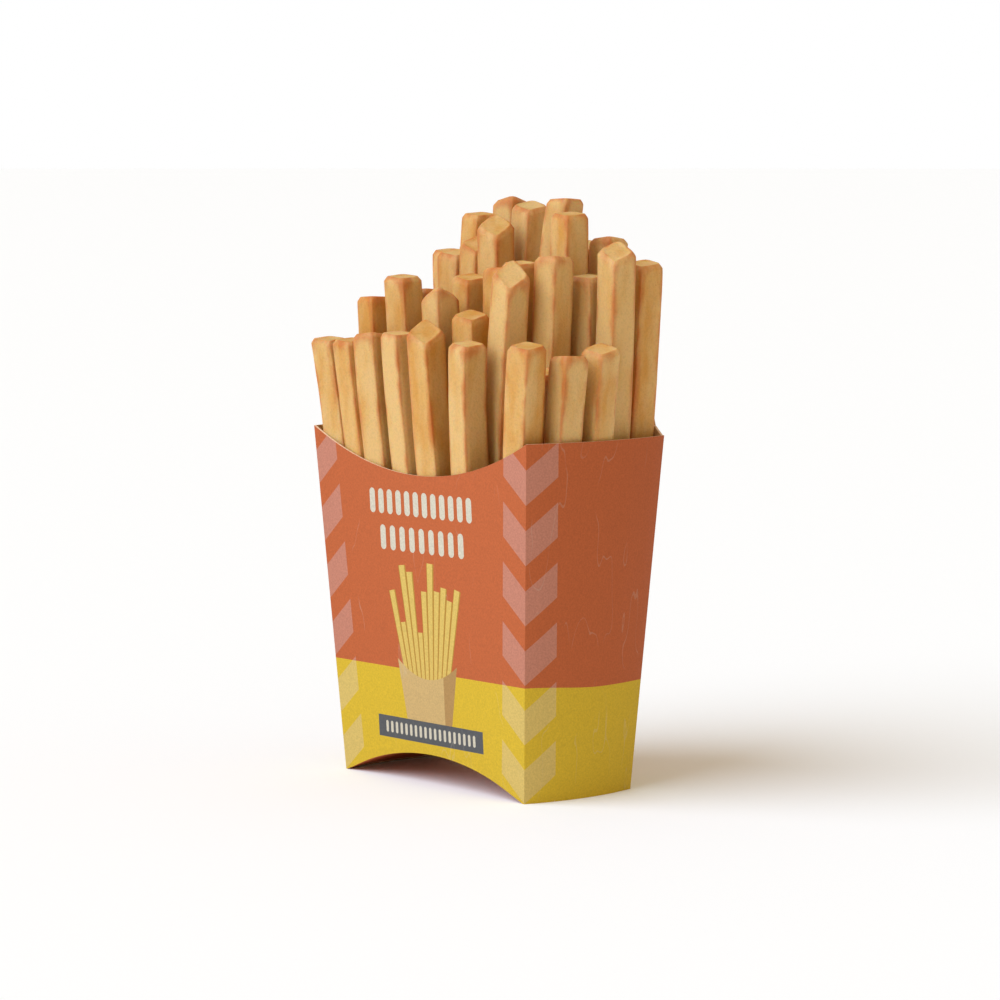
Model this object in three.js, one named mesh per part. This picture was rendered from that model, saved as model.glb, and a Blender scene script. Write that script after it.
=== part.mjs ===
// A filled french fry box, in mm, +Z up, front panel towards -Y, standing on z = 0.
// The carton is one folded board: flat front and back, bowed sides, and an arched bottom that
// meets them along curved creases. The fries stand in it in rows, each a solid of its own.
import * as THREE from 'three';

// Carton, outside sizes
const CORNER_HEIGHT = 110;
const TOP_WIDTH = 103;
const BASE_WIDTH = 87;
const TOP_DEPTH = 56;
const BASE_DEPTH = 43.5;
const BOARD = 0.5;
const FRONT_DIP = 12.8; // of the front rim's arc below the corners
const BACK_RISE = 27; // of the back panel's round top above the corners
const BACK_SHOULDER = 4; // flat rim between each back corner and the round top
const BACK_ROUNDNESS = 2.4; // power of the round top's curve, where 2 is an ellipse
const ARCH_RISE = 9.8; // of the bottom crease above the table, at the middle
const ARCH_EASE = 0.3; // share by which the arch is lower just before its feet
const SIDE_BOW_TOP = 4.6;
const SIDE_BOW_BASE = 3.3;
const GLUE_LAP = 12; // inside the left panel, along its back fold

// Fries
const FRY_WIDTH = 8.3;
const FRY_DEPTH = 8;
const FRY_EDGE_RADIUS = 1.3;
const FRY_END_ROUND = 1;
const FRY_END_INSET = 0.7; // share of the end's rounding that the section loses on each side
const CUT_REACH = 6; // power by which a cut's slope dies out below the tip
const MAX_TURN = THREE.MathUtils.degToRad(6); // about the fry's own length
const TURN_SPREAD = 0.15; // share by which the turns differ from fry to fry
const TURN_STEP = 2.4; // angle from fry to fry in the wave that gives each its turn
const WAIST = 0.02; // share by which a fry's section thins and swells along it
const WAIST_WAVE = 9; // angle that the thinning goes through along the first fry
const WAIST_STEP = 1.7; // angle added to it from fry to fry
const BEND_START = 62; // height above which a fry may bend to its lean
const CLEARANCE = 0.3; // between neighbours, and to the board

// Mesh density
const FRONT_STEPS = 28;
const SIDE_STEPS = 10;
const CORNER_STEPS = 2;
const FRY_RINGS = 7;

// Rows of fries, front to back. foot is the height where a row's fries start, and 0 stands them on
// the bottom. Each fry gives the slack to its left, its rise above the corners, its lean to the
// right at the tip, and the slope of its cut end towards the front right corner.
const ROWS = [
  {
    name: 'front',
    foot: 0,
    slackAfter: 2.5,
    fries: [
      [2.5, 27, -5, 0.1],
      [0, 27, -3, 0.1],
      [0, 29, -1.5, -0.2],
      [4, 30, -1.5, 0.1],
      [3, 31, -0.5, 0.75],
      [7, 28, 3, 0.15],
      [16, 28.5, 4.5, 0.2],
    ],
  },
  {
    name: 'second',
    foot: 24,
    slackAfter: 0,
    fries: [
      [10.5, 40, -1.5, -0.1],
      [5.5, 47, -2, 0.1],
      [8, 41, -1, -0.7],
      [4.5, 36, 0, 0.3],
      [4.5, 49, 6, 0.9],
      [9.5, 20, 2, 0.2],
      [0, 25, 4, -0.1],
    ],
  },
  {
    name: 'middle',
    foot: 0,
    slackAfter: 0,
    fries: [
      [7.5, 36, -2, 0.2],
      [4.5, 42, -0.5, -0.2],
      [1.5, 36, 0, 0.1],
      [0, 47, 0, 0.2],
      [5, 50, 0.5, -0.1],
      [0, 52, 0.5, 0.1],
      [3.5, 54, 3, -0.1],
      [1, 10, 0, 0.2],
      [1.5, 27, 3.5, 0.3],
    ],
  },
  {
    name: 'fourth',
    foot: 24,
    slackAfter: 3,
    fries: [
      [9.5, 38, -2, 0.1],
      [2, 54, -2.5, 0.2],
      [0.5, 57, -1.5, 0.5],
      [0, 63, -2, 0.7],
      [1, 47, 0, -0.1],
      [2.5, 49, 0, 0.1],
      [1.5, 67, 0.5, 0.1],
      [2, 48, -1.5, 0.1],
      [1.5, 56, 0.5, 0.6],
    ],
  },
  {
    name: 'back',
    foot: 46,
    slackAfter: 2,
    fries: [
      [3.5, 54, -6, 0.1],
      [0, 66, -1, 0.1],
      [5.5, 70, 0, -0.4],
      [0, 69, 0, 0.3],
      [2, 71, 5.5, -0.1],
      [7, 57, 1, 0.3],
      [0.5, 59, 1, -0.2],
      [8, 52, 0.5, 0.2],
    ],
  },
];

const boardMaterial = () => new THREE.MeshStandardMaterial({ color: 0xc86c43, roughness: 0.8 });
const fryMaterial = () => new THREE.MeshStandardMaterial({ color: 0xd9ab6c, roughness: 0.6 });

// Value at a height, between the base's and the corners'; it runs on straight above them
const atHeight = (base, top, z) => base + ((top - base) * z) / CORNER_HEIGHT;
const halfWidth = (z) => atHeight(BASE_WIDTH, TOP_WIDTH, z) / 2;
const halfDepth = (z) => atHeight(BASE_DEPTH, TOP_DEPTH, z) / 2;
const sideBow = (z) => atHeight(SIDE_BOW_BASE, SIDE_BOW_TOP, z);

// Drop from the top of a circular arc with the given half chord and rise, at x from its middle
function arcDrop(x, halfChord, rise) {
  const radius = (halfChord ** 2 + rise ** 2) / (2 * rise);
  return radius - Math.sqrt(Math.max(radius ** 2 - x ** 2, 0));
}

// The side panels' cut edges are the feet, one board wide at each end of the front
const FOOT_EDGE = 1 - BOARD / (BASE_WIDTH / 2);

// Height of the bottom crease, u from -1 to 1 across the front: an arc that eases into each foot
function creaseHeight(u) {
  const t = Math.min(Math.abs(u) / FOOT_EDGE, 1);
  return ARCH_RISE * (1 - t ** 2) * (1 - ARCH_EASE * t ** 8);
}

// Rim heights of the flat panels, u from -1 to 1 across
const frontRim = (u) => {
  const half = TOP_WIDTH / 2;
  return CORNER_HEIGHT - FRONT_DIP + arcDrop(u * half, half, FRONT_DIP);
};
const backRim = (u) => {
  const half = TOP_WIDTH / 2 - BACK_SHOULDER;
  const x = Math.min(Math.abs(u) * (TOP_WIDTH / 2), half);
  const across = Math.min(x / half, 1);
  return CORNER_HEIGHT + BACK_RISE * Math.sqrt(1 - across ** BACK_ROUNDNESS);
};

// Where the lap's edge lies between the front fold, -1, and the back fold, 1
const LAP_EDGE = 1 - GLUE_LAP / (BASE_DEPTH / 2);
const LAP_STEP = 0.002; // share of the depth over which the board's thickness doubles

// Point of the board's outside, or of its inside where inset is the board's thickness.
// u and v run from -1 to 1 across the width and the depth; the lap doubles the inside.
function boardPoint(u, v, z, inset) {
  const lap = inset > 0 && u < 0 && v >= LAP_EDGE ? BOARD : 0;
  const side = halfWidth(z) + sideBow(z) * (1 - v ** 2) - inset - lap;
  return new THREE.Vector3(u * side, v * (halfDepth(z) - inset), z);
}

// Stops from -1 to 1 across the front, and along a side with a stop on each side of the lap's edge
const stops = (steps) => Array.from({ length: steps + 1 }, (_, i) => (2 * i) / steps - 1);
const across = [-1, ...stops(FRONT_STEPS).map((u) => u * FOOT_EDGE), 1];
const along = [...stops(SIDE_STEPS), LAP_EDGE - LAP_STEP, LAP_EDGE].sort((a, b) => a - b);

// Closed loop of [u, v] round the board, anticlockwise from the front left fold
function boardLoop() {
  const front = across.slice(0, -1).map((u) => [u, -1]);
  const right = along.slice(0, -1).map((v) => [1, v]);
  const back = across.slice(1).reverse().map((u) => [u, 1]);
  const left = along.slice(1).reverse().map((v) => [-1, v]);
  return [...front, ...right, ...back, ...left];
}

function rimHeight(u, v) {
  if (v === -1) return frontRim(u);
  return v === 1 ? backRim(u) : CORNER_HEIGHT;
}

// Collects shared vertices and faces, then hands over one closed geometry
class Shell {
  constructor() {
    this.positions = [];
    this.faces = [];
  }

  add(point) {
    return this.positions.push(point) - 1;
  }

  quad(a, b, c, d) {
    this.faces.push(a, b, c, a, c, d);
  }

  // Joins two closed loops of as many vertices, facing out when the upper one is second
  band(lower, upper) {
    lower.forEach((low, i) => {
      const j = (i + 1) % lower.length;
      this.quad(low, lower[j], upper[j], upper[i]);
    });
  }

  geometry() {
    const geometry = new THREE.BufferGeometry();
    geometry.setFromPoints(this.positions);
    geometry.setIndex(this.faces);
    geometry.computeVertexNormals();
    return geometry;
  }
}

// One skin of the arched bottom, whose border vertices are those of the wall's lowest loop
function addBottom(shell, loop, border, inset, facesUp) {
  const known = new Map(loop.map(([u, v], i) => [`${u},${v}`, border[i]]));
  const at = (u, v) => {
    const key = `${u},${v}`;
    if (!known.has(key)) known.set(key, shell.add(boardPoint(u, v, creaseHeight(u) + inset, inset)));
    return known.get(key);
  };
  for (let i = 0; i < across.length - 1; i++) {
    for (let j = 0; j < along.length - 1; j++) {
      const [u0, u1, v0, v1] = [across[i], across[i + 1], along[j], along[j + 1]];
      const corners = [at(u0, v0), at(u1, v0), at(u1, v1), at(u0, v1)];
      shell.quad(...(facesUp ? corners : corners.reverse()));
    }
  }
}

function makeCarton() {
  const shell = new Shell();
  const loop = boardLoop();
  const ring = (height, inset) =>
    loop.map(([u, v]) => shell.add(boardPoint(u, v, height(u, v), inset)));
  const outerLow = ring((u) => creaseHeight(u), 0);
  const outerRim = ring(rimHeight, 0);
  const innerRim = ring(rimHeight, BOARD);
  const innerLow = ring((u) => creaseHeight(u) + BOARD, BOARD);
  shell.band(outerLow, outerRim);
  shell.band(outerRim, innerRim);
  shell.band(innerRim, innerLow);
  addBottom(shell, loop, outerLow, 0, false);
  addBottom(shell, loop, innerLow, BOARD, true);
  const mesh = new THREE.Mesh(shell.geometry(), boardMaterial());
  mesh.name = 'carton';
  return mesh;
}

// Room that a turned fry takes each way, with its clearance
const flatX = FRY_WIDTH - 2 * FRY_EDGE_RADIUS;
const flatY = FRY_DEPTH - 2 * FRY_EDGE_RADIUS;
const edges = 2 * FRY_EDGE_RADIUS + CLEARANCE;
const fryPitchX = flatX * Math.cos(MAX_TURN) + flatY * Math.sin(MAX_TURN) + edges;
const fryPitchY = flatY * Math.cos(MAX_TURN) + flatX * Math.sin(MAX_TURN) + edges;

// Half of the room inside the board, less its clearance
const roomY = (z) => halfDepth(z) - BOARD - CLEARANCE;
const roomX = (z, y) => {
  const v = Math.min((Math.abs(y) + fryPitchY / 2) / halfDepth(z), 1);
  return halfWidth(z) + sideBow(z) * (1 - v ** 2) - 2 * BOARD - CLEARANCE;
};

// Centres of a row's fries at a height, with the room left over shared out by the slacks
function spread(count, slacks, half, pitch) {
  const total = slacks.reduce((sum, slack) => sum + slack, 0);
  const left = 2 * half - count * pitch;
  const centres = [];
  let used = 0;
  for (let i = 0; i < count; i++) {
    used += slacks[i];
    centres.push(-half + (left * used) / total + (i + 0.5) * pitch);
  }
  return centres;
}

// Outline of a fry's section: a rectangle with rounded edges
function fryOutline() {
  const points = [];
  for (let corner = 0; corner < 4; corner++) {
    const signX = corner === 0 || corner === 3 ? 1 : -1;
    const signY = corner < 2 ? 1 : -1;
    const centreX = signX * (FRY_WIDTH / 2 - FRY_EDGE_RADIUS);
    const centreY = signY * (FRY_DEPTH / 2 - FRY_EDGE_RADIUS);
    for (let step = 0; step <= CORNER_STEPS; step++) {
      const angle = ((corner + step / CORNER_STEPS) * Math.PI) / 2;
      points.push([centreX + FRY_EDGE_RADIUS * Math.cos(angle), centreY + FRY_EDGE_RADIUS * Math.sin(angle)]);
    }
  }
  return points;
}

// A fry from its foot to its tip, straight at first and then bending a little to its lean
function makeFry(name, fry, number) {
  const { base, rim, foot, rise, lean, cut } = fry;
  const turnShare = 1 - TURN_SPREAD + TURN_SPREAD * Math.sin(number * TURN_STEP);
  const turn = MAX_TURN * (number % 2 ? 1 : -1) * turnShare;
  const top = CORNER_HEIGHT + rise;
  const slope = rim.clone().sub(base).divideScalar(CORNER_HEIGHT);
  const axis = (z) => {
    const over = Math.max(z - BEND_START, 0) / (top - BEND_START);
    const bend = lean - slope.x * rise;
    return new THREE.Vector2(base.x + slope.x * z + bend * over ** 3, base.y + slope.y * z);
  };
  const outline = fryOutline().map(([x, y]) => [
    x * Math.cos(turn) - y * Math.sin(turn),
    x * Math.sin(turn) + y * Math.cos(turn),
  ]);
  const shell = new Shell();
  const ring = (z, scale, tilt) => {
    const centre = axis(z);
    return outline.map(([x, y]) => {
      const drop = (tilt * scale * (x - y)) / Math.SQRT2;
      return shell.add(new THREE.Vector3(centre.x + x * scale, centre.y + y * scale, z - drop));
    });
  };
  const endScale = 1 - (2 * FRY_END_ROUND * FRY_END_INSET) / FRY_WIDTH;
  const rings = [ring(foot, endScale, 0)];
  for (let i = 0; i < FRY_RINGS; i++) {
    const share = Math.sin((i / (FRY_RINGS - 1)) * (Math.PI / 2));
    const z = foot + FRY_END_ROUND + share * (top - foot - 2 * FRY_END_ROUND);
    const waist = 1 - WAIST * (1 - Math.cos(number * WAIST_STEP * share + share * WAIST_WAVE));
    rings.push(ring(z, waist, cut * share ** CUT_REACH));
  }
  rings.push(ring(top, endScale, cut));
  rings.slice(1).forEach((upper, i) => shell.band(rings[i], upper));
  const last = rings[rings.length - 1];
  for (let i = 2; i < outline.length; i++) {
    shell.faces.push(rings[0][0], rings[0][i], rings[0][i - 1]);
    shell.faces.push(last[0], last[i - 1], last[i]);
  }
  const mesh = new THREE.Mesh(shell.geometry(), fryMaterial());
  mesh.name = name;
  return mesh;
}

// Height of the highest bit of the bottom's inside under a fry standing at x
function seatHeight(x) {
  const nearest = Math.max(Math.abs(x) - fryPitchX / 2, 0) / (halfWidth(0) + sideBow(0));
  return creaseHeight(nearest) + BOARD + CLEARANCE;
}

function makeFries() {
  const lowestShared = Math.min(...ROWS.map((row) => row.foot).filter((foot) => foot > 0));
  const rowCount = Math.min(ROWS.length, Math.floor((2 * roomY(lowestShared)) / fryPitchY));
  const rowSlacks = [0, ...Array(rowCount - 1).fill(1), 0]; // the outer rows lie on the panels
  const lowY = spread(rowCount, rowSlacks, roomY(lowestShared), fryPitchY);
  const rimY = spread(rowCount, rowSlacks, roomY(CORNER_HEIGHT), fryPitchY);
  const fries = [];
  ROWS.slice(0, rowCount).forEach((row, r) => {
    const slopeY = (rimY[r] - lowY[r]) / (CORNER_HEIGHT - lowestShared);
    const baseY = lowY[r] - slopeY * lowestShared;
    const baseRoom = roomX(0, baseY);
    const rimRoom = roomX(CORNER_HEIGHT, rimY[r]);
    const count = Math.min(row.fries.length, Math.floor((2 * baseRoom) / fryPitchX));
    const slacks = [...row.fries.slice(0, count).map((fry) => fry[0]), row.slackAfter];
    const baseX = spread(count, Array(count + 1).fill(1), baseRoom, fryPitchX);
    const rimX = spread(count, slacks, rimRoom, fryPitchX);
    for (let i = 0; i < count; i++) {
      const [, rise, lean, cut] = row.fries[i];
      const base = new THREE.Vector2(baseX[i], baseY);
      const rim = new THREE.Vector2(rimX[i], rimY[r]);
      const foot = Math.max(row.foot, seatHeight(baseX[i]));
      const name = `fry_${row.name}_${i + 1}`;
      fries.push(makeFry(name, { base, rim, foot, rise, lean, cut }, fries.length + 1));
    }
  });
  return fries;
}

const frenchFryBox = new THREE.Group();
frenchFryBox.name = 'french_fry_box';
frenchFryBox.add(makeCarton(), ...makeFries());

// The origin is under the middle of the whole filled box, whose fries don't lean evenly
const middle = new THREE.Box3().setFromObject(frenchFryBox).getCenter(new THREE.Vector3());
frenchFryBox.position.set(-middle.x, -middle.y, 0);

export default frenchFryBox;
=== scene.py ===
"""Looks of a filled french fry box: printed board, fried potato sticks and a plain studio.

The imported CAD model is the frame. The carton and every fry are finished copies of their CAD nodes,
so each one stays where the frame has it. Sizes are in millimetres, except in Blender's own data,
which is in metres.
"""

import logging
import math
import random
from dataclasses import dataclass
from enum import Enum
from functools import cached_property

import bmesh
import bpy
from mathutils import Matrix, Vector


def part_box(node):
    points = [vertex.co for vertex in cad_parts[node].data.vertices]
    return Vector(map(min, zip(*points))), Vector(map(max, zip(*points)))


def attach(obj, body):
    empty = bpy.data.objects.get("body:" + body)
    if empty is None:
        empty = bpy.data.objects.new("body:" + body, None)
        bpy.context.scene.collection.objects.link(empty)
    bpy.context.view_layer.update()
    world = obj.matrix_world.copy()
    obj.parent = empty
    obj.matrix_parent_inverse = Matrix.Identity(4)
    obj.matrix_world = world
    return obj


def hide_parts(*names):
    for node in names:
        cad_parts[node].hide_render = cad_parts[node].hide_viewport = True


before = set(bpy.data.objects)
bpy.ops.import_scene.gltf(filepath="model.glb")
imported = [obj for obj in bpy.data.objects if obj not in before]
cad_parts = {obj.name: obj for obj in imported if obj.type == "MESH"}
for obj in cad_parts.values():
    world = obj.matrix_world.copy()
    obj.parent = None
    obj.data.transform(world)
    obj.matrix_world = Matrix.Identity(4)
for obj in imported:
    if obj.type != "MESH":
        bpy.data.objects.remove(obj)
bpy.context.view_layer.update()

MM = 0.001
TO_MM = (1 / MM, 1 / MM, 1 / MM)
PHOTO_PIXELS = 1000
MERGE_DISTANCE = 0.001 * MM
LOG = logging.getLogger("french_fry_box")

# Most values of a noise texture lie in this span, and its contour at the middle wanders far
NOISE_SPAN = (0.3, 0.7)
NOISE_MIDDLE = 0.5

Colour = tuple[float, float, float, float]
Feed = bpy.types.Node | bpy.types.NodeSocket | float | tuple | None


class Panel(Enum):
    """The faces of the folded board that take a finish of their own."""

    FRONT = "front_print"
    SIDE = "side_print"
    BACK = "back_print"
    UNDERSIDE = "underside_print"
    INSIDE = "kraft_inside"
    CUT_EDGE = "cut_board_edge"


def srgb(code: str) -> Colour:
    """Turns an sRGB hex colour to linear light, by the curve of the sRGB standard.

    Args:
        code: The colour as #rrggbb.

    Returns:
        Red, green, blue and full alpha, linear.
    """
    shares = [int(code[i : i + 2], 16) / 255 for i in (1, 3, 5)]
    linear = [s / 12.92 if s <= 0.04045 else ((s + 0.055) / 1.055) ** 2.4 for s in shares]
    return (*linear, 1.0)


def add_node(
    tree: bpy.types.NodeTree, kind: str, *feeds: Feed, named: dict[str, Feed] | None = None, **settings: str
) -> bpy.types.Node:
    """Adds one shader node, sets its properties and feeds its inputs.

    Args:
        tree: The node tree that takes the node.
        kind: The node's type without the ShaderNode prefix.
        feeds: For each shown input in order a node, a socket or a value, or None to leave it.
        named: The same for inputs given by name.
        settings: The node's own properties, set before its inputs are fed.

    Returns:
        The new node.
    """
    node = tree.nodes.new("ShaderNode" + kind)
    for key, value in settings.items():
        setattr(node, key, value)
    shown = [socket for socket in node.inputs if socket.enabled]
    pairs = list(zip(shown, feeds)) + [(node.inputs[key], feed) for key, feed in (named or {}).items()]
    for socket, feed in pairs:
        if isinstance(feed, bpy.types.Node):
            feed = next(out for out in feed.outputs if out.enabled)
        if isinstance(feed, bpy.types.NodeSocket):
            tree.links.new(feed, socket)
        elif feed is not None:
            socket.default_value = feed
    return node


def new_material(name: str) -> tuple[bpy.types.Material, bpy.types.NodeTree]:
    """Starts a material that has no nodes yet.

    Args:
        name: The material's name.

    Returns:
        The material and its node tree.
    """
    material = bpy.data.materials.new(name)
    material.use_nodes = True
    material.node_tree.nodes.clear()
    return material, material.node_tree


def merged_copy(node: str) -> bmesh.types.BMesh:
    """Copies a CAD node's loose triangles to one closed shape.

    Args:
        node: The CAD node's name.

    Returns:
        A bmesh in metres, in the frame of the CAD model.
    """
    shape = bmesh.new()
    shape.from_mesh(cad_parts[node].data)
    bmesh.ops.remove_doubles(shape, verts=shape.verts, dist=MERGE_DISTANCE)
    return shape


def finish_piece(shape: bmesh.types.BMesh, name: str, node: str) -> bpy.types.Object:
    """Makes an object of a shape that stands for a CAD node.

    Args:
        shape: The finished bmesh, freed here.
        name: The new piece's name.
        node: The CAD node that it stands for.

    Returns:
        The new object, riding on the one body.
    """
    mesh = bpy.data.meshes.new(name)
    shape.to_mesh(mesh)
    shape.free()
    # The CAD mesh's own normals would shade the rounded edges as if they were still sharp
    if "custom_normal" in mesh.attributes:
        mesh.attributes.remove(mesh.attributes["custom_normal"])
    piece = bpy.data.objects.new(name, mesh)
    bpy.context.scene.collection.objects.link(piece)
    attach(piece, "root")
    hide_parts(node)
    return piece


@dataclass(frozen=True)
class Grain:
    """A noise pattern, by the size of its coarsest grains and its number of finer octaves."""

    size: float
    octaves: float

    @property
    def sockets(self) -> dict[str, float]:
        """What a noise texture takes for it, on coordinates in millimetres."""
        return {"Scale": 1 / self.size, "Detail": self.octaves}


@dataclass(frozen=True)
class CartonSize:
    """Outer sizes of the folded carton at its folds, and where its upright axis stands."""

    corner_height: float = 110.0
    top_width: float = 103.0
    base_width: float = 87.0
    top_depth: float = 56.0
    base_depth: float = 43.5
    board: float = 0.5

    @property
    def width_gain(self) -> float:
        """Half the width gained for each millimetre of height."""
        return (self.top_width - self.base_width) / 2 / self.corner_height

    @property
    def depth_gain(self) -> float:
        """Half the depth gained for each millimetre of height."""
        return (self.top_depth - self.base_depth) / 2 / self.corner_height

    @cached_property
    def axis(self) -> Vector:
        """The carton's axis on the table, in metres: its front is flat and its sides bow alike."""
        low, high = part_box("carton")
        return Vector(((low.x + high.x) / 2, low.y + self.top_depth / 2 * MM, 0))

    def half_width(self, height: float) -> float:
        """Half the width between the folds at a height."""
        return self.base_width / 2 + self.width_gain * height

    def half_depth(self, height: float) -> float:
        """Half the depth between the folds at a height."""
        return self.base_depth / 2 + self.depth_gain * height


@dataclass(frozen=True)
class StickRow:
    """A printed row of upright sticks with round ends."""

    middle: float
    half_length: float
    count: int
    height: float = 7.8
    stroke: float = 2.6


@dataclass(frozen=True)
class PrintLayout:
    """Where the print's plain shapes lie: heights, and distances from the middle line or a fold."""

    # The border between orange and yellow. On the sides it sinks by the sag on its way from the
    # front fold to a place past the middle, given as a share of half the depth
    border: float = 35.8
    border_sag: float = 1.4
    sag_end: float = 0.2

    # Chevrons in a band on both sides of each front fold
    fold_band: float = 10.4
    chevron_pitch: float = 18.3
    chevron_lean: float = 0.8
    chevron_share: float = 0.58

    title_rows: tuple[StickRow, ...] = (
        StickRow(middle=88.1, half_length=25.5, count=12),
        StickRow(middle=76.8, half_length=21.2, count=9),
    )

    # The cup widens with height by its flare, and its lip rises with the square of the distance
    cup_foot: float = 19.5
    cup_half_foot: float = 10.8
    cup_flare: float = 0.185
    cup_lip: float = 33.5
    cup_lip_rise: float = 0.026
    cup_shade_from: float = 7.6

    # The sticks fan out from a point below the panel. Angles are in radians from upright, and
    # the last two say where a stick's body lies in its step of the fan
    fan_centre: float = -12.0
    fan_half_angle: float = 0.235
    fan_sticks: int = 11
    fan_reach: tuple[float, float] = (60.0, 84.0)
    fan_body_middle: float = 0.45
    fan_body_half: float = 0.37

    # The grey label and its dashes
    label_low: float = 13.1
    label_high: float = 20.0
    label_half: float = 25.4
    dash_count: int = 19
    dash_pitch: float = 2.35
    dash_stroke: float = 1.15
    dash_height: float = 3.7

    @property
    def label_middle(self) -> float:
        """The height of the label's middle line."""
        return (self.label_low + self.label_high) / 2

    @property
    def dashes(self) -> StickRow:
        """The row of dashes along the label's middle line."""
        half_length = self.dash_count * self.dash_pitch / 2
        return StickRow(self.label_middle, half_length, self.dash_count, self.dash_height, self.dash_stroke)


@dataclass(frozen=True)
class PanelPlane:
    """A print material's nodes, with the sockets that give a place on its panel in millimetres."""

    tree: bpy.types.NodeTree
    panel: Panel
    place: bpy.types.Node
    along: bpy.types.NodeSocket
    height: bpy.types.NodeSocket


@dataclass(frozen=True)
class OffsetPrint:
    """Offset litho print on white-lined cartonboard under a matt varnish: flat inks, fine grain."""

    size: CartonSize
    layout: PrintLayout = PrintLayout()

    orange: str = "#b2592d"
    yellow: str = "#c9a725"
    tint: str = "#c4bdb9"
    cream: str = "#c5bda9"
    cup_kraft: str = "#bf9f67"
    cup_shade: str = "#a5804c"
    stick: str = "#cbac58"
    stick_gap: str = "#a87d2e"
    label_grey: str = "#505153"
    tint_share: float = 0.2

    # A matt varnish leaves a broad, weak sheen
    roughness: float = 0.68
    varnish: float = 0.25

    # Paper fibres are finer than the render shows, so the grain is drawn at half a millimetre
    grain: Grain = Grain(size=0.55, octaves=2.0)
    grain_shade: float = 0.1
    grain_relief: float = 0.12
    grain_relief_mm: float = 0.05

    # Handling leaves thin pale cracks in the ink, mostly upright, in patches where a second noise
    # is above a limit that is lower on the sides
    crease: Grain = Grain(size=12.0, octaves=2.0)
    crease_stretch: float = 0.25
    crease_lean: tuple[float, float, float] = (0.5, 0.4, 0.0)
    crease_line: float = 0.003
    crease_share: float = 0.13
    patch: Grain = Grain(size=20.0, octaves=1.0)
    patch_fade: float = 0.08
    patch_limit: float = 0.55
    patch_limit_side: float = 0.41

    def material(self, panel: Panel) -> bpy.types.Material:
        """Makes the print of one panel.

        Args:
            panel: The panel that the print lies on.

        Returns:
            The panel's material.
        """
        material, tree = new_material(f"offset_printed_cartonboard_{panel.value}")
        plane = self.plane(tree, panel)
        ink = self.ground(plane)
        if panel in (Panel.FRONT, Panel.SIDE):
            ink = self.fold_chevrons(plane, ink)
        if panel is Panel.FRONT:
            for draw in (self.title, self.fan_of_sticks, self.cup, self.label):
                ink = draw(plane, ink)
        ink, relief = self.board_surface(plane, ink)
        sockets = {
            "Base Color": ink,
            "Roughness": self.roughness,
            "Specular IOR Level": self.varnish,
            "Normal": relief,
        }
        add_node(tree, "OutputMaterial", add_node(tree, "BsdfPrincipled", named=sockets))
        return material

    def plane(self, tree: bpy.types.NodeTree, panel: Panel) -> PanelPlane:
        """Gives the place on a panel in millimetres from the carton's axis.

        Args:
            tree: The material's nodes.
            panel: The panel.

        Returns:
            The panel's plane.
        """
        objects = add_node(tree, "TexCoord").outputs["Object"]
        place = add_node(tree, "Mapping", objects, tuple(-self.size.axis / MM), None, TO_MM)
        parts = add_node(tree, "SeparateXYZ", place)
        along = parts.outputs["Y" if panel is Panel.SIDE else "X"]
        return PanelPlane(tree, panel, place, along, parts.outputs["Z"])

    def ground(self, plane: PanelPlane) -> bpy.types.Node:
        """Prints orange over yellow, and orange alone underneath.

        Args:
            plane: The panel's plane.

        Returns:
            The colour.
        """
        tree, high = plane.tree, self.layout.border
        low = high - self.layout.border_sag
        border: Feed = {Panel.FRONT: high, Panel.BACK: low, Panel.UNDERSIDE: 0.0}.get(plane.panel)
        if plane.panel is Panel.SIDE:
            fold = self.size.half_depth(high)
            span = (-fold, self.layout.sag_end * fold, high, low)
            border = add_node(tree, "MapRange", plane.along, *span, interpolation_type="SMOOTHSTEP")
        below = add_node(tree, "Math", plane.height, border, operation="LESS_THAN")
        return add_node(tree, "Mix", below, srgb(self.orange), srgb(self.yellow), data_type="RGBA")

    def fold_chevrons(self, plane: PanelPlane, ink: Feed) -> bpy.types.Node:
        """Overprints a pale band of chevrons that point down the front folds.

        Args:
            plane: The panel's plane.
            ink: The colour below.

        Returns:
            The colour.
        """
        tree, layout = plane.tree, self.layout
        if plane.panel is Panel.FRONT:
            gain, base = self.size.width_gain, self.size.base_width / 2
            away = add_node(tree, "Math", plane.along, operation="ABSOLUTE")
        else:
            gain, base = self.size.depth_gain, self.size.base_depth / 2
            away = add_node(tree, "Math", plane.along, -1.0, operation="MULTIPLY")
        fold = add_node(tree, "Math", plane.height, gain, base, operation="MULTIPLY_ADD")
        inset = add_node(tree, "Math", fold, away, operation="SUBTRACT")
        lifted = add_node(tree, "Math", inset, -layout.chevron_lean, plane.height, operation="MULTIPLY_ADD")
        turns = add_node(tree, "Math", lifted, layout.chevron_pitch, operation="DIVIDE")
        share = add_node(tree, "Math", turns, operation="FRACT")
        bar = add_node(tree, "Math", share, layout.chevron_share, operation="LESS_THAN")
        near = add_node(tree, "Math", inset, layout.fold_band, operation="LESS_THAN")
        mask = add_node(tree, "Math", bar, near, operation="MULTIPLY")
        amount = add_node(tree, "Math", mask, self.tint_share, operation="MULTIPLY")
        return add_node(tree, "Mix", amount, ink, srgb(self.tint), data_type="RGBA")

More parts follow.
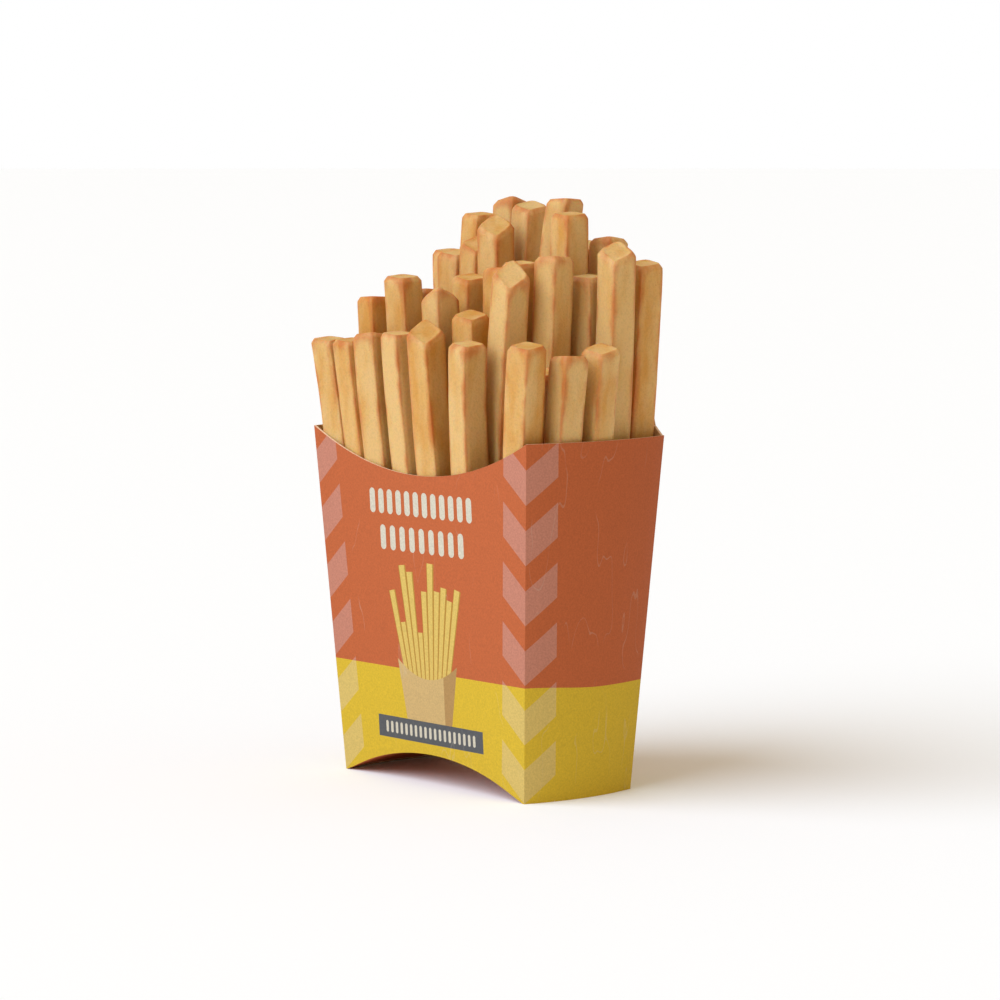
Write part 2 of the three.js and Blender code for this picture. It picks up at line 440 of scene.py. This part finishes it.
    def stick_row(self, plane: PanelPlane, ink: Feed, row: StickRow) -> bpy.types.Node:
        """Prints a row of upright cream sticks with round ends.

        Args:
            plane: The panel's plane.
            ink: The colour below.
            row: The row's place and sizes.

        Returns:
            The colour.
        """
        tree, half_pitch = plane.tree, row.half_length / row.count
        start = add_node(tree, "Math", plane.along, row.half_length + half_pitch, operation="ADD")
        across = add_node(tree, "Math", start, half_pitch, operation="PINGPONG")
        offset = add_node(tree, "Math", plane.height, row.middle, operation="SUBTRACT")
        above = add_node(tree, "Math", offset, operation="ABSOLUTE")
        past = add_node(tree, "Math", above, (row.height - row.stroke) / 2, operation="SUBTRACT")
        end = add_node(tree, "Math", past, 0.0, operation="MAXIMUM")
        away = add_node(tree, "VectorMath", add_node(tree, "CombineXYZ", across, end), operation="LENGTH")
        stick = add_node(tree, "Math", away, row.stroke / 2, operation="LESS_THAN")
        inside = add_node(tree, "Math", plane.along, 0.0, row.half_length, operation="COMPARE")
        mask = add_node(tree, "Math", stick, inside, operation="MULTIPLY")
        return add_node(tree, "Mix", mask, ink, srgb(self.cream), data_type="RGBA")

    def title(self, plane: PanelPlane, ink: Feed) -> bpy.types.Node:
        """Prints the rows of cream sticks above the picture.

        Args:
            plane: The panel's plane.
            ink: The colour below.

        Returns:
            The colour.
        """
        for row in self.layout.title_rows:
            ink = self.stick_row(plane, ink, row)
        return ink

    def fan_of_sticks(self, plane: PanelPlane, ink: Feed) -> bpy.types.Node:
        """Prints a fan of straight sticks of uneven length, down to the cup's foot.

        Args:
            plane: The panel's plane.
            ink: The colour below.

        Returns:
            The colour.
        """
        tree, layout = plane.tree, self.layout
        up = add_node(tree, "Math", plane.height, layout.fan_centre, operation="SUBTRACT")
        angle = add_node(tree, "Math", plane.along, up, operation="ARCTAN2")
        start = add_node(tree, "Math", angle, layout.fan_half_angle, operation="ADD")
        step = 2 * layout.fan_half_angle / layout.fan_sticks
        turns = add_node(tree, "Math", start, step, operation="DIVIDE")
        number = add_node(tree, "Math", turns, operation="FLOOR")
        chance = add_node(tree, "TexWhiteNoise", number, noise_dimensions="1D").outputs["Value"]
        shortest, longest = layout.fan_reach
        reach = add_node(tree, "Math", chance, longest - shortest, shortest, operation="MULTIPLY_ADD")
        away = add_node(tree, "VectorMath", add_node(tree, "CombineXYZ", plane.along, up), operation="LENGTH")
        near = add_node(tree, "Math", away, reach, operation="LESS_THAN")
        within = add_node(tree, "Math", angle, 0.0, layout.fan_half_angle, operation="COMPARE")
        mask = add_node(tree, "Math", near, within, operation="MULTIPLY")
        above = add_node(tree, "Math", plane.height, layout.cup_foot, operation="GREATER_THAN")
        shown = add_node(tree, "Math", mask, above, operation="MULTIPLY")
        share = add_node(tree, "Math", turns, operation="FRACT")
        body = add_node(
            tree, "Math", share, layout.fan_body_middle, layout.fan_body_half, operation="COMPARE"
        )
        sticks = add_node(tree, "Mix", body, srgb(self.stick_gap), srgb(self.stick), data_type="RGBA")
        return add_node(tree, "Mix", shown, ink, sticks, data_type="RGBA")

    def cup(self, plane: PanelPlane, ink: Feed) -> bpy.types.Node:
        """Prints a plain tapered cup with a dipped lip and a shaded right side.

        Args:
            plane: The panel's plane.
            ink: The colour below.

        Returns:
            The colour.
        """
        tree, layout = plane.tree, self.layout
        lift = add_node(tree, "Math", plane.height, layout.cup_foot, operation="SUBTRACT")
        half = add_node(tree, "Math", lift, layout.cup_flare, layout.cup_half_foot, operation="MULTIPLY_ADD")
        away = add_node(tree, "Math", plane.along, operation="ABSOLUTE")
        within = add_node(tree, "Math", away, half, operation="LESS_THAN")
        square = add_node(tree, "Math", plane.along, plane.along, operation="MULTIPLY")
        lip = add_node(tree, "Math", square, layout.cup_lip_rise, layout.cup_lip, operation="MULTIPLY_ADD")
        below = add_node(tree, "Math", plane.height, lip, operation="LESS_THAN")
        above = add_node(tree, "Math", lift, 0.0, operation="GREATER_THAN")
        mask = add_node(tree, "Math", within, below, operation="MULTIPLY")
        mask = add_node(tree, "Math", mask, above, operation="MULTIPLY")
        shade = add_node(tree, "Math", plane.along, layout.cup_shade_from, operation="GREATER_THAN")
        card = add_node(tree, "Mix", shade, srgb(self.cup_kraft), srgb(self.cup_shade), data_type="RGBA")
        return add_node(tree, "Mix", mask, ink, card, data_type="RGBA")

    def label(self, plane: PanelPlane, ink: Feed) -> bpy.types.Node:
        """Prints the grey strip under the cup with its row of small dashes.

        Args:
            plane: The panel's plane.
            ink: The colour below.

        Returns:
            The colour.
        """
        tree, layout = plane.tree, self.layout
        half_height = (layout.label_high - layout.label_low) / 2
        wide = add_node(tree, "Math", plane.along, 0.0, layout.label_half, operation="COMPARE")
        tall = add_node(tree, "Math", plane.height, layout.label_middle, half_height, operation="COMPARE")
        mask = add_node(tree, "Math", wide, tall, operation="MULTIPLY")
        ink = add_node(tree, "Mix", mask, ink, srgb(self.label_grey), data_type="RGBA")
        return self.stick_row(plane, ink, layout.dashes)

    def board_surface(self, plane: PanelPlane, ink: Feed) -> tuple[bpy.types.Node, bpy.types.Node]:
        """Adds the board's grain and the fine pale creases of a handled carton.

        Args:
            plane: The panel's plane.
            ink: The printed colour.

        Returns:
            The colour and the relief's normal.
        """
        tree, place = plane.tree, plane.place
        grain = add_node(tree, "TexNoise", place, named=self.grain.sockets)
        dim = add_node(tree, "MapRange", grain, *NOISE_SPAN, 1 - self.grain_shade, 1 + self.grain_shade)
        ink = add_node(tree, "VectorMath", ink, named={"Scale": dim}, operation="SCALE")
        upright = add_node(tree, "Mapping", place, None, self.crease_lean, (1.0, 1.0, self.crease_stretch))
        wander = add_node(tree, "TexNoise", upright, named=self.crease.sockets)
        line = add_node(tree, "Math", wander, NOISE_MIDDLE, self.crease_line, operation="COMPARE")
        patches = add_node(tree, "TexNoise", place, named=self.patch.sockets)
        limit = self.patch_limit_side if plane.panel is Panel.SIDE else self.patch_limit
        where = add_node(tree, "MapRange", patches, limit, limit + self.patch_fade, 0.0, self.crease_share)
        crease = add_node(tree, "Math", line, where, operation="MULTIPLY")
        ink = add_node(tree, "Mix", crease, ink, srgb(self.cream), data_type="RGBA")
        bump = {"Strength": self.grain_relief, "Distance": self.grain_relief_mm * MM, "Height": grain}
        return ink, add_node(tree, "Bump", named=bump)


@dataclass(frozen=True)
class BareFibre:
    """Unprinted board: dull wood fibre, whose short fibres show as soft specks in two tones."""

    name: str
    pale: str
    dark: str
    fibre: Grain
    roughness: float
    speck_span: tuple[float, float] = (0.35, 0.65)

    def material(self) -> bpy.types.Material:
        """Makes the material.

        Returns:
            The material.
        """
        material, tree = new_material(self.name)
        objects = add_node(tree, "TexCoord").outputs["Object"]
        place = add_node(tree, "Mapping", objects, None, None, TO_MM)
        fibres = add_node(tree, "TexNoise", place, named=self.fibre.sockets)
        share = add_node(tree, "MapRange", fibres, *self.speck_span, 0.0, 1.0)
        colour = add_node(tree, "Mix", share, srgb(self.dark), srgb(self.pale), data_type="RGBA")
        sockets = {"Base Color": colour, "Roughness": self.roughness}
        add_node(tree, "OutputMaterial", add_node(tree, "BsdfPrincipled", named=sockets))
        return material


# The unbleached liner is brown, and the die-cut edge bares the paler and still duller pulp
KRAFT_LINER = BareFibre(
    name="unbleached_kraft_liner",
    pale="#c99a63",
    dark="#ad7c48",
    fibre=Grain(size=1.1, octaves=3.0),
    roughness=0.85,
)
CUT_PULP = BareFibre(
    name="die_cut_pulp_edge",
    pale="#edc8a5",
    dark="#dab08a",
    fibre=Grain(size=0.8, octaves=2.0),
    roughness=0.9,
)


@dataclass(frozen=True)
class FriedCrust:
    """Deep-fried potato: pale golden mealy faces, browned edges and ends, a dull oily crust."""

    pale: str = "#d5ad6e"
    golden: str = "#ca9040"
    edge_brown: str = "#b8622a"
    fleck: str = "#94521f"

    # Golden mottling, drawn out along the fry
    mottle: Grain = Grain(size=5.0, octaves=4.0)
    mottle_stretch: float = 0.3
    golden_span: tuple[float, float] = (0.4, 0.8)

    # Browning of the ridges, made ragged by the mottling
    rim_ragged: float = 0.7
    rim_span: tuple[float, float] = (0.72, 1.3)
    rim_share: float = 0.7

    # Blisters and crumbs are finer than the render shows, so they are drawn nearly 1 mm wide
    grain: Grain = Grain(size=0.8, octaves=3.0)
    grain_shade: float = 0.09
    fleck_span: tuple[float, float] = (0.6, 0.76)
    fleck_share: float = 0.4
    grain_relief: float = 0.5
    grain_relief_mm: float = 0.25

    # A thin film of oil gives a weak gloss, and light that scatters in the potato comes out warm
    roughness: float = 0.55
    oil: float = 0.25
    scatter: float = 0.5
    scatter_mm: float = 3.0
    scatter_colour: tuple[float, float, float] = (1.0, 0.3, 0.08)

    def material(self) -> bpy.types.Material:
        """Makes the material. It reads how fried each point is from the mesh.

        Returns:
            The material.
        """
        material, tree = new_material("deep_fried_potato_crust")
        objects = add_node(tree, "TexCoord").outputs["Object"]
        place = add_node(tree, "Mapping", objects, None, None, TO_MM)
        drawn = add_node(tree, "Mapping", objects, None, None, (1 / MM, 1 / MM, self.mottle_stretch / MM))
        mottle = add_node(tree, "TexNoise", drawn, named=self.mottle.sockets)
        grain = add_node(tree, "TexNoise", place, named=self.grain.sockets)
        browned = add_node(tree, "Attribute", attribute_name="browned").outputs["Fac"]
        tone = add_node(tree, "Attribute", attribute_name="tone").outputs["Fac"]
        fried = add_node(tree, "Math", mottle, tone, operation="ADD")
        share = add_node(tree, "MapRange", fried, *self.golden_span, 0.0, 1.0)
        colour = add_node(tree, "Mix", share, srgb(self.pale), srgb(self.golden), data_type="RGBA")
        ragged = add_node(tree, "Math", mottle, self.rim_ragged, browned, operation="MULTIPLY_ADD")
        span = (*self.rim_span, 0.0, self.rim_share)
        rim = add_node(tree, "MapRange", ragged, *span, interpolation_type="SMOOTHSTEP")
        colour = add_node(tree, "Mix", rim, colour, srgb(self.edge_brown), data_type="RGBA")
        speck = add_node(tree, "MapRange", grain, *self.fleck_span, 0.0, self.fleck_share)
        colour = add_node(tree, "Mix", speck, colour, srgb(self.fleck), data_type="RGBA")
        dim = add_node(tree, "MapRange", grain, *NOISE_SPAN, 1 - self.grain_shade, 1 + self.grain_shade)
        colour = add_node(tree, "VectorMath", colour, named={"Scale": dim}, operation="SCALE")
        bump = {"Strength": self.grain_relief, "Distance": self.grain_relief_mm * MM, "Height": grain}
        sockets = {
            "Base Color": colour,
            "Roughness": self.roughness,
            "Specular IOR Level": self.oil,
            "Normal": add_node(tree, "Bump", named=bump),
            "Subsurface Weight": self.scatter,
            "Subsurface Radius": self.scatter_colour,
            "Subsurface Scale": self.scatter_mm * MM,
        }
        add_node(tree, "OutputMaterial", add_node(tree, "BsdfPrincipled", named=sockets))
        return material


@dataclass
class FoldedCarton:
    """The folded board carton: front with a dipped rim, raised back, bowed sides and arched bottom."""

    size: CartonSize = CartonSize()
    fold_radius: float = 0.18
    fold_segments: int = 2
    join_angle: float = math.radians(3)
    crisp_angle: float = math.radians(28)

    # How a face is told to be a wall, the bottom or a cut edge: by its distance from the walls'
    # outer faces, counted in boards, and by how far it looks up or down, or straight out
    wall_boards: float = 2.0
    lying_share: float = 0.5
    outward_share: float = 0.6

    def build(self) -> bpy.types.Object:
        """Builds the carton from its CAD node, with softly rounded folds and cut edges.

        Returns:
            The carton's object, without materials.
        """
        shape = merged_copy("carton")
        bmesh.ops.join_triangles(
            shape,
            faces=shape.faces,
            angle_face_threshold=self.join_angle,
            angle_shape_threshold=math.pi,
        )
        self.sort_faces(shape)
        bmesh.ops.bevel(
            shape,
            geom=[edge for edge in shape.edges if edge.calc_face_angle(0) > self.crisp_angle],
            offset=self.fold_radius * MM,
            segments=self.fold_segments,
            profile=0.5,
            material=-1,
            affect="EDGES",
            clamp_overlap=True,
        )
        for face in shape.faces:
            face.smooth = True
        for edge in shape.edges:
            edge.smooth = edge.calc_face_angle(0) < self.crisp_angle
        return finish_piece(shape, "printed_fry_carton", "carton")

    def sort_faces(self, shape: bmesh.types.BMesh) -> None:
        """Gives each face the material number of its panel.

        Args:
            shape: The carton's bmesh.
        """
        numbers = {panel: number for number, panel in enumerate(Panel)}
        for face in shape.faces:
            face.material_index = numbers[self.panel_of(face)]

    def panel_of(self, face: bmesh.types.BMFace) -> Panel:
        """Finds the panel that a face belongs to, from its place and the way it looks.

        Args:
            face: A face of the carton.

        Returns:
            The panel.
        """
        place = (face.calc_center_median() - self.size.axis) / MM
        depth, width = self.size.half_depth(place.z), self.size.half_width(place.z)
        walls = {
            Panel.FRONT: (abs(place.y + depth), -face.normal.y),
            Panel.BACK: (abs(place.y - depth), face.normal.y),
            Panel.SIDE: (max(width - abs(place.x), 0), face.normal.x * math.copysign(1, place.x)),
        }
        panel, (away, outward) = min(walls.items(), key=lambda item: item[1][0])
        if away > self.wall_boards * self.size.board and abs(face.normal.z) > self.lying_share:
            return Panel.UNDERSIDE if face.normal.z < 0 else Panel.INSIDE
        if abs(outward) < self.outward_share:
            return Panel.CUT_EDGE
        return panel if outward > 0 else Panel.INSIDE

    def dress(self, piece: bpy.types.Object) -> None:
        """Gives the carton its materials in the order of the panels.

        Args:
            piece: The carton's object.
        """
        print_finish = OffsetPrint(self.size)
        bare = {Panel.INSIDE: KRAFT_LINER, Panel.CUT_EDGE: CUT_PULP}
        for panel in Panel:
            material = bare[panel].material() if panel in bare else print_finish.material(panel)
            piece.data.materials.append(material)


@dataclass
class FryBundle:
    """The fries that fill the carton, each a cut potato stick with soft browned edges."""

    # Triangles are joined where they bend less than this, in radians: first on the cut ends, which
    # look up or down at least by the lying share, and then everywhere
    end_join_angle: float = 0.01
    lying_share: float = 0.5
    join_angle: float = math.radians(25)

    # Loops that hold the form when it is rounded: edges over a flat side and long edges are cut,
    # told apart by how much of their length is height
    flat_edge: float = 3.0
    flat_rise: float = 0.75
    flat_cuts: int = 2
    long_edge: float = 8.0
    long_rise: float = 0.9
    length_cuts: int = 3
    end_inset: float = 0.9

    # Ridges, by the angle of their edges in radians, how crisp and how brown they are, and how
    # much less or more than the rest a whole fry is fried
    ridge_angle: float = 0.25
    crest_angle: float = math.radians(42)
    ridge_crease: float = 0.6
    ridge_hold: float = 0.5
    brown_range: tuple[float, float] = (0.55, 1.0)
    tone_range: tuple[float, float] = (-0.14, 0.2)

    # Plumpness of the faces and, beyond that, of the crests, growing between two heights
    plump: float = 0.42
    ridge_plump: float = 0.4
    plump_from: float = 70.0
    plump_to: float = 95.0

    # Rounding, and the slow unevenness of the sides
    levels: int = 2
    swell: float = 0.11
    swell_mm: float = 9.0
    seed: int = 11

    def build(self) -> list[bpy.types.Object]:
        """Builds every fry from its CAD node.

        Returns:
            The fries' objects, without materials.
        """
        rng = random.Random(self.seed)
        skin = bpy.data.textures.new("fry_swell", "CLOUDS")
        skin.noise_scale = self.swell_mm * MM
        fries = []
        for node in sorted(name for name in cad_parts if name.startswith("fry_")):
            fry = self.build_fry(node, rng)
            self.soften(fry, skin)
            fries.append(fry)
        return fries

    def build_fry(self, node: str, rng: random.Random) -> bpy.types.Object:
        """Builds one fry with enough loops to round its edges.

        Args:
            node: The fry's CAD node.
            rng: The draws for how fried it is, as a whole and along its ridges.

        Returns:
            The fry's object.
        """
        tone = rng.uniform(*self.tone_range)
        shape = merged_copy(node)
        self.clear_ends(shape)
        bmesh.ops.join_triangles(
            shape,
            faces=[face for face in shape.faces if len(face.verts) == 3],
            angle_face_threshold=self.join_angle,
            angle_shape_threshold=math.pi,
        )
        flats = [edge for edge in shape.edges if self.is_flat(edge)]
        bmesh.ops.subdivide_edges(shape, edges=flats, cuts=self.flat_cuts)
        sides = [edge for edge in shape.edges if self.is_lengthwise(edge)]
        bmesh.ops.subdivide_edges(shape, edges=sides, cuts=self.length_cuts)
        self.mark_browning(shape, tone, rng)
        self.plump_up(shape)
        for face in shape.faces:
            face.smooth = True
        return finish_piece(shape, node.replace("fry_", "fried_fry_"), node)

    def clear_ends(self, shape: bmesh.types.BMesh) -> None:
        """Joins the triangles of each cut end to one face.

        Args:
            shape: The fry's bmesh.
        """
        flat = [
            edge
            for edge in shape.edges
            if edge.calc_face_angle(1) < self.end_join_angle
            and all(abs(face.normal.z) > self.lying_share for face in edge.link_faces)
        ]
        bmesh.ops.dissolve_edges(shape, edges=flat, use_verts=False)

    def is_flat(self, edge: bmesh.types.BMEdge) -> bool:
        """Tells whether an edge crosses a flat side of the fry."""
        length, rise = edge.calc_length(), abs(edge.verts[0].co.z - edge.verts[1].co.z)
        return length > self.flat_edge * MM and rise < self.flat_rise * length

    def is_lengthwise(self, edge: bmesh.types.BMEdge) -> bool:
        """Tells whether an edge runs along the fry and is long."""
        length, rise = edge.calc_length(), abs(edge.verts[0].co.z - edge.verts[1].co.z)
        return length > self.long_edge * MM and rise > self.long_rise * length

    def mark_browning(self, shape: bmesh.types.BMesh, tone: float, rng: random.Random) -> None:
        """Creases and browns the ridges, insets the cut ends and stores how fried each point is.

        Args:
            shape: The fry's bmesh.
            tone: The fry's own share of frying.
            rng: The draws for uneven browning.
        """
        crease = shape.edges.layers.float.new("crease_edge")
        browned = shape.verts.layers.float.new("browned")
        depth = shape.verts.layers.float.new("tone")
        for edge in shape.edges:
            if edge.calc_face_angle(0) > self.ridge_angle:
                edge[crease] = self.ridge_crease
        for vertex in shape.verts:
            vertex[browned] = self.ridge_share(vertex) * rng.uniform(*self.brown_range)
        self.hold_ridges(shape)
        # After the joining and cutting, only the cut ends have more than four corners
        ends = [face for face in shape.faces if len(face.verts) > 4]
        bmesh.ops.inset_individual(shape, faces=ends, thickness=self.end_inset * MM, use_even_offset=True)
        for face in ends:
            for vertex in face.verts:
                vertex[browned] = 0.0
        for vertex in shape.verts:
            vertex[depth] = tone

    def ridge_share(self, vertex: bmesh.types.BMVert) -> float:
        """Gives 1 on the crest of a ridge, about a half beside it and 0 on the flats."""
        sharpest = max(edge.calc_face_angle(0) for edge in vertex.link_edges)
        return min(sharpest / self.crest_angle, 1.0) if sharpest > self.ridge_angle else 0.0

    def hold_ridges(self, shape: bmesh.types.BMesh) -> None:
        """Slides the loops on the flats towards the ridges, so that rounding keeps the edges crisp.

        Args:
            shape: The fry's bmesh, with its ridges marked as browned.
        """
        browned = shape.verts.layers.float["browned"]
        for vertex in [v for v in shape.verts if v[browned] == 0]:
            near = [edge for edge in vertex.link_edges if edge.other_vert(vertex)[browned] > 0]
            if near:
                ridge = min(near, key=lambda edge: edge.calc_length()).other_vert(vertex)
                vertex.co = vertex.co.lerp(ridge.co, self.ridge_hold)

    def plump_up(self, shape: bmesh.types.BMesh) -> None:
        """Swells the part of a fry that stands clear of the board, where nothing squeezes it.

        Args:
            shape: The fry's bmesh.
        """
        shape.normal_update()
        shares = [(vertex, self.ridge_share(vertex)) for vertex in shape.verts]
        for vertex, ridge in shares:
            clear = (vertex.co.z / MM - self.plump_from) / (self.plump_to - self.plump_from)
            # Only the sharper half of the ridges counts as a crest
            crest = max(2 * ridge - 1, 0)
            push = self.plump + self.ridge_plump * crest
            vertex.co += vertex.normal * push * MM * min(max(clear, 0), 1)

    def soften(self, fry: bpy.types.Object, skin: bpy.types.Texture) -> None:
        """Rounds a fry's edges and lets its sides swell and sink a little.

        Args:
            fry: The fry's object.
            skin: The texture of the swelling.
        """
        round_off = fry.modifiers.new("rounded_edges", "SUBSURF")
        round_off.levels = round_off.render_levels = self.levels
        swell = fry.modifiers.new("uneven_sides", "DISPLACE")
        swell.texture = skin
        swell.texture_coords = "LOCAL"
        swell.strength = self.swell * MM

    def dress(self, fries: list[bpy.types.Object]) -> None:
        """Gives every fry the same crust.

        Args:
            fries: The fries' objects.
        """
        crust = FriedCrust().material()
        for fry in fries:
            fry.data.materials.append(crust)


def direction(azimuth: float, elevation: float) -> Vector:
    """Gives the unit vector towards a place round the object; azimuth 0 is in front of it.

    Args:
        azimuth: Degrees round the object, 90 on its right.
        elevation: Degrees above the horizon.

    Returns:
        The unit vector.
    """
    turn, lift = math.radians(azimuth), math.radians(elevation)
    return Vector((math.sin(turn) * math.cos(lift), -math.cos(turn) * math.cos(lift), math.sin(lift)))


@dataclass(frozen=True)
class SoftSource:
    """A far, broad studio source: it lights the whole floor alike and its shadows are soft."""

    name: str
    azimuth: float
    elevation: float
    spread: float
    strength: float
    colour: str

    def build(self) -> bpy.types.Object:
        """Hangs the light.

        Returns:
            The light's object.
        """
        lamp = bpy.data.lights.new(self.name, "SUN")
        lamp.angle = math.radians(self.spread)
        lamp.energy = self.strength
        lamp.color = srgb(self.colour)[:3]
        light = bpy.data.objects.new(self.name, lamp)
        light.rotation_euler = direction(self.azimuth, self.elevation).to_track_quat("Z", "Y").to_euler()
        bpy.context.scene.collection.objects.link(light)
        return light


@dataclass
class Studio:
    """Pale floor, soft light from the left of the camera, and the camera at the photograph's angle."""

    # In metres, so wide that the disc's rim lies at the horizon
    floor_radius: float = 30.0
    floor_segments: int = 64
    floor_colour: str = "#fdfdfd"
    floor_roughness: float = 0.9

    air_colour: str = "#fff1d8"
    air_strength: float = 0.58
    beyond_colour: str = "#ffffff"
    key: SoftSource = SoftSource(
        name="key_source", azimuth=-15.0, elevation=42.0, spread=60.0, strength=2.95, colour="#ddebff"
    )

    # Where the photograph was taken from, fitted to the carton's corners in it
    azimuth: float = 49.72
    elevation: float = 5.345
    distance: float = 1190.3
    target_height: float = 88.08
    lens: float = 137.0
    axis_column: float = 486.06

    def build(self, axis: Vector) -> None:
        """Sets up the floor, the lights and the camera.

        Args:
            axis: The carton's axis on the table, in metres.
        """
        self.build_floor()
        self.build_air()
        self.key.build()
        self.build_camera(axis + Vector((0, 0, self.target_height * MM)))

    def build_floor(self) -> None:
        """Lays a plain painted disc under the object."""
        shape = bmesh.new()
        bmesh.ops.create_circle(
            shape, cap_ends=True, segments=self.floor_segments, radius=self.floor_radius
        )
        mesh = bpy.data.meshes.new("studio_floor")
        shape.to_mesh(mesh)
        shape.free()
        # Matt paint is even and has no glare
        material, tree = new_material("painted_studio_floor")
        sockets = {"Base Color": srgb(self.floor_colour), "Roughness": self.floor_roughness}
        add_node(tree, "OutputMaterial", add_node(tree, "BsdfPrincipled", named=sockets))
        mesh.materials.append(material)
        floor = bpy.data.objects.new(mesh.name, mesh)
        bpy.context.scene.collection.objects.link(floor)

    def build_air(self) -> None:
        """Fills the studio with even pale light, white where the camera looks past the floor."""
        world = bpy.data.worlds.new("studio_air")
        world.use_nodes = True
        tree = world.node_tree
        tree.nodes.clear()
        seen = add_node(tree, "LightPath").outputs["Is Camera Ray"]
        soft = add_node(tree, "Background", srgb(self.air_colour), self.air_strength)
        beyond = add_node(tree, "Background", srgb(self.beyond_colour), 1.0)
        add_node(tree, "OutputWorld", add_node(tree, "MixShader", seen, soft, beyond))
        bpy.context.scene.world = world

    def build_camera(self, target: Vector) -> None:
        """Places the camera where the photograph was taken from.

        Args:
            target: The point on the carton's axis that it looks at.
        """
        data = bpy.data.cameras.new("photo_camera")
        data.lens = self.lens
        data.shift_x = (PHOTO_PIXELS / 2 - self.axis_column) / PHOTO_PIXELS
        camera = bpy.data.objects.new("photo_camera", data)
        away = direction(self.azimuth, self.elevation)
        camera.location = target + away * self.distance * MM
        camera.rotation_euler = away.to_track_quat("Z", "Y").to_euler()
        bpy.context.scene.collection.objects.link(camera)
        bpy.context.scene.camera = camera
        bpy.context.scene.view_settings.view_transform = "Standard"


def main() -> None:
    """Builds the carton, the fries and the studio, and reports each piece."""
    logging.basicConfig(level=logging.INFO, format="%(name)s: %(message)s")
    carton = FoldedCarton()
    board = carton.build()
    carton.dress(board)
    LOG.info("%s has %d faces", board.name, len(board.data.polygons))
    bundle = FryBundle()
    fries = bundle.build()
    bundle.dress(fries)
    for fry in fries:
        LOG.info("%s has %d faces before rounding", fry.name, len(fry.data.polygons))
    Studio().build(carton.size.axis)


if __name__ == "__main__":
    main()
